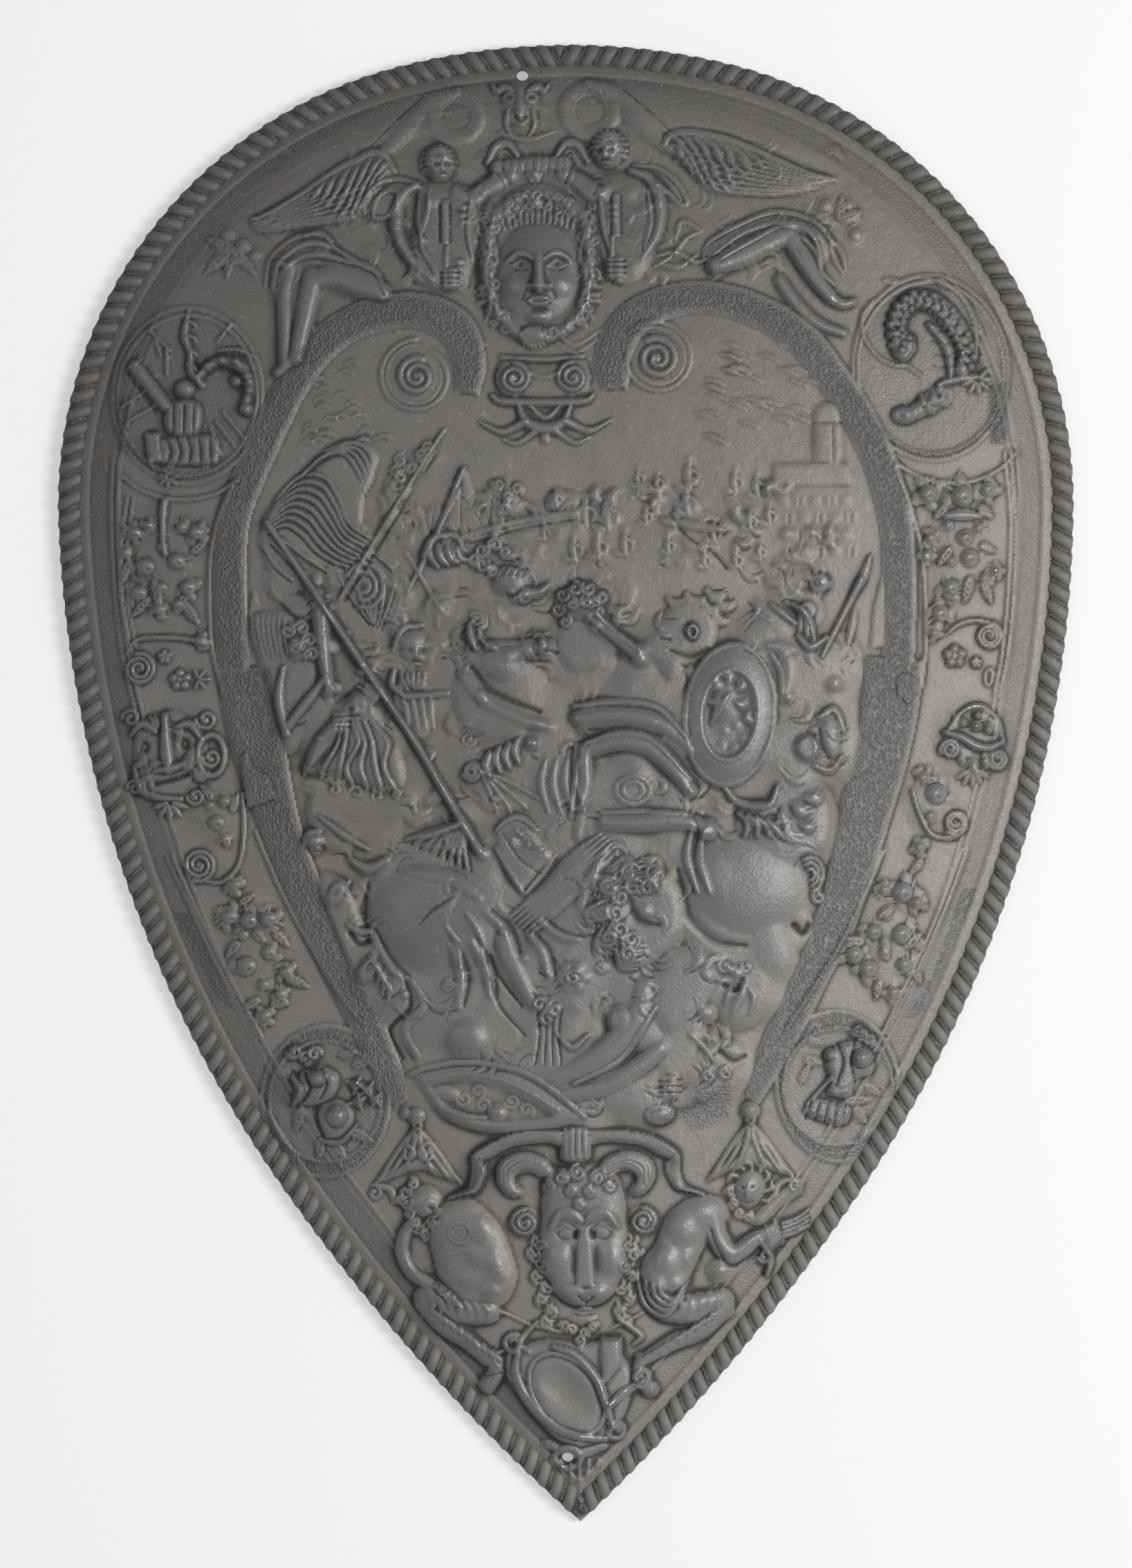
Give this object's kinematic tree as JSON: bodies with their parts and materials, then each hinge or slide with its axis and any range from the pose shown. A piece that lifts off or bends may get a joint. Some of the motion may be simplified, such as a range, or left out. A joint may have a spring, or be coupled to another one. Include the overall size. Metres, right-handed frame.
{
  "type": "ornamental wall shield",
  "caption": "Almond-shaped cast iron ornamental shield with a roped rim, a domed relief face and a hollow back.",
  "frame": {"origin": "centre of the bounding box's footprint, on the surface the shield lies on", "axes": "+Z out of the decorated face, +Y along the height towards the round top, +X to the right as seen from the front"},
  "size_m": [0.426, 0.62, 0.0486],
  "materials": {
    "cast_iron": "dark, dull, with polished high points"
  },
  "bodies": {
    "root": {"shield": "cast_iron"}
  },
  "joints": []
}
